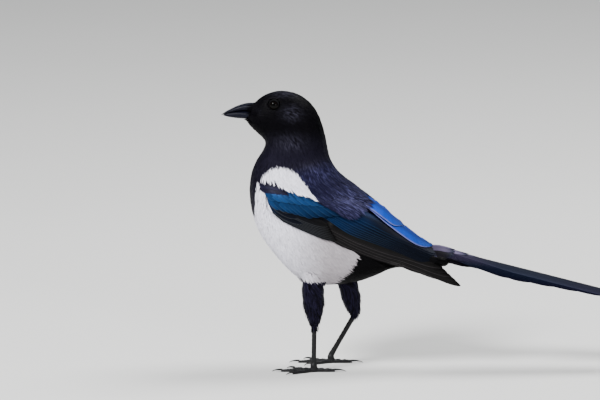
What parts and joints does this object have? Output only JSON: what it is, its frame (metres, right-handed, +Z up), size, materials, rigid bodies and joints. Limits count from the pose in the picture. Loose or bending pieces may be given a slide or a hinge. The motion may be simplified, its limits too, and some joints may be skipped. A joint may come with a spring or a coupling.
{
  "type": "magpie model",
  "caption": "Still, life-size standing magpie: black head and back, white shoulder and belly, blue-glossed folded wings and a long graduated tail.",
  "frame": {"origin": "middle of the bird's bounding box at the level of the soles, z = 0 on the floor", "axes": "the bill points to -Y and the tail to +Y, the bird's left side is +X, +Z is up"},
  "size_m": [0.0788, 0.3682, 0.2447],
  "materials": {
    "plumage_black": "soft black feathers with a faint violet gloss",
    "plumage_white": "soft white feathers with black head side, back and vent",
    "wing_blue": "glossed blue feathers",
    "primary_grey": "dark brown-grey flight feathers",
    "tail_gloss": "black feathers glossed green, blue and purple",
    "bill_black": "smooth horn",
    "eye_brown": "wet, nearly black",
    "leg_black": "scaled black skin"
  },
  "bodies": {
    "root": {"head": "plumage_black", "neck": "plumage_black", "trunk": "plumage_white", "bill_upper": "bill_black", "bill_lower": "bill_black", "eye_left": "eye_brown", "eye_right": "eye_brown", "wing_left": "wing_blue", "wing_right": "wing_blue", "primaries_left": "primary_grey", "primaries_right": "primary_grey", "tail": "tail_gloss", "thigh_left": "plumage_black", "thigh_right": "plumage_black", "tarsus_left": "leg_black", "tarsus_right": "leg_black", "foot_left": "leg_black", "foot_right": "leg_black", "claw_inner_left": "bill_black", "claw_middle_left": "bill_black", "claw_outer_left": "bill_black", "claw_hind_left": "bill_black", "claw_inner_right": "bill_black", "claw_middle_right": "bill_black", "claw_outer_right": "bill_black", "claw_hind_right": "bill_black"}
  },
  "joints": []
}
